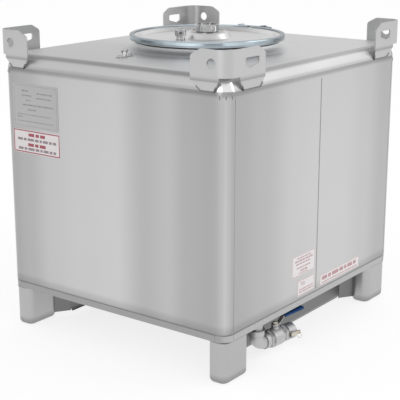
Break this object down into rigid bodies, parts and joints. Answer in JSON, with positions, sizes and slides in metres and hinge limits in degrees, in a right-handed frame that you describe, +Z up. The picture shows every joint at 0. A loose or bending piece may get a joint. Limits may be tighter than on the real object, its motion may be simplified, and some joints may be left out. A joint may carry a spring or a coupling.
{
  "type": "intermediate bulk container",
  "caption": "Square stainless tank on four legs with corner lifting lugs, a clamped round manway lid and a bottom ball valve with a cammed dust cap.",
  "frame": {"origin": "on the floor, below the middle of the tank's plan", "axes": "+Z up, -Y towards the side that carries the valve, +X to the right seen from that side"},
  "size_m": [1.239, 1.1005, 1.2],
  "materials": {
    "satin_stainless": "satin ground sheet, vertical grain on the walls",
    "mill_stainless": "dull mill finish",
    "polished_stainless": "bright polished",
    "cast_stainless": "bead-blasted casting",
    "warm_hardware": "yellow passivated",
    "zinc_steel": "bright zinc plated, bluish",
    "spring_steel": "drawn wire",
    "black_rubber": "matte black",
    "white_ptfe": "waxy white",
    "blue_vinyl": "dipped blue vinyl",
    "etched_plate": "etched grey plate",
    "label_vinyl": "white label with thin red frame"
  },
  "bodies": {
    "tank": {"wall_left": "satin_stainless", "wall_right": "satin_stainless", "top_head": "satin_stainless", "manway_neck": "polished_stainless", "base_ring": "satin_stainless", "bottom_pan": "mill_stainless", "fork_bearers": "mill_stainless", "leg_front_left": "satin_stainless", "leg_front_right": "satin_stainless", "leg_rear_left": "satin_stainless", "leg_rear_right": "satin_stainless", "lug_front_left": "satin_stainless", "lug_front_right": "satin_stainless", "lug_rear_left": "satin_stainless", "lug_rear_right": "satin_stainless", "fork_guard_front": "mill_stainless", "fork_guard_rear": "mill_stainless", "ground_lug": "polished_stainless", "ground_stud": "polished_stainless", "outlet_pipe": "cast_stainless", "outlet_elbow": "cast_stainless", "valve_body": "cast_stainless", "valve_end": "cast_stainless", "valve_seats": "white_ptfe", "gland_nut": "cast_stainless", "coupling_adapter": "cast_stainless", "data_plate": "etched_plate", "side_label": "label_vinyl", "front_labels": "label_vinyl"},
    "manway_cover": {"lid": "polished_stainless", "lid_gasket": "black_rubber", "clamp_ring": "zinc_steel", "ring_lugs": "zinc_steel", "ring_nuts": "zinc_steel", "fill_bung": "polished_stainless", "fill_seal": "black_rubber", "vent_nipple": "polished_stainless", "vent_body": "polished_stainless"},
    "closing_bolt": {"ring_bolt": "zinc_steel"},
    "fill_plug": {"fill_liner": "polished_stainless"},
    "fill_nut": {"fill_cap": "polished_stainless"},
    "vent_valve": {"vent_pallet": "polished_stainless", "vent_spring": "spring_steel"},
    "valve_handle": {"valve_lever": "cast_stainless", "lever_sleeve": "blue_vinyl", "lever_nut": "warm_hardware", "valve_stem": "polished_stainless", "valve_ball": "polished_stainless"},
    "outlet_cap": {"dust_cap": "cast_stainless", "cap_gasket": "black_rubber", "cam_pins": "warm_hardware"},
    "front_cam": {"cam_arm_front": "warm_hardware"},
    "back_cam": {"cam_arm_back": "warm_hardware"},
    "front_ring": {"pull_ring_front": "warm_hardware"},
    "back_ring": {"pull_ring_back": "warm_hardware"},
    "deck_wing_nut": {"wing_nut": "polished_stainless"}
  },
  "joints": [
    {"name": "cover_lift", "type": "slide", "parent": "tank", "child": "manway_cover", "axis": [0, 0, 1], "range_m": [0, 0.15]},
    {"name": "closing_bolt_turn", "type": "hinge", "parent": "manway_cover", "child": "closing_bolt", "pos_m": [0.326, 0, 1.161], "axis": [0, 1, 0], "continuous": true},
    {"name": "fill_plug_lift", "type": "slide", "parent": "manway_cover", "child": "fill_plug", "axis": [0, 0, 1], "range_m": [0, 0.06]},
    {"name": "fill_nut_turn", "type": "hinge", "parent": "fill_plug", "child": "fill_nut", "pos_m": [0, 0, 1.185], "axis": [0, 0, 1], "continuous": true},
    {"name": "vent_lift", "type": "slide", "parent": "manway_cover", "child": "vent_valve", "axis": [0, 0, 1], "range_m": [0, 0.004], "stiffness_N_per_m": 800, "springref_m": -0.004, "deforming": ["vent_spring"]},
    {"name": "lever_turn", "type": "hinge", "parent": "tank", "child": "valve_handle", "pos_m": [-0.22954, -0.49439, 0.113], "axis": [0, 0, -1], "range_deg": [0, 90]},
    {"name": "cap_pull", "type": "slide", "parent": "tank", "child": "outlet_cap", "axis": [0.9903, -0.1392, 0], "range_m": [0, 0.08]},
    {"name": "front_cam_swing", "type": "hinge", "parent": "outlet_cap", "child": "front_cam", "pos_m": [-0.17302, -0.53768, 0.063], "axis": [0, 0, -1], "range_deg": [0, 100]},
    {"name": "back_cam_swing", "type": "hinge", "parent": "outlet_cap", "child": "back_cam", "pos_m": [-0.16327, -0.46836, 0.063], "axis": [0, 0, 1], "range_deg": [0, 100]},
    {"name": "front_ring_swing", "type": "hinge", "parent": "front_cam", "child": "front_ring", "pos_m": [-0.13354, -0.54424, 0.062], "axis": [0.1392, 0.9903, 0], "range_deg": [-60, 15]},
    {"name": "back_ring_swing", "type": "hinge", "parent": "back_cam", "child": "back_ring", "pos_m": [-0.12352, -0.47294, 0.062], "axis": [0.1392, 0.9903, 0], "range_deg": [-60, 15]},
    {"name": "wing_nut_turn", "type": "hinge", "parent": "tank", "child": "deck_wing_nut", "pos_m": [-0.43, 0.065, 1.125], "axis": [0, 0, 1], "continuous": true}
  ]
}
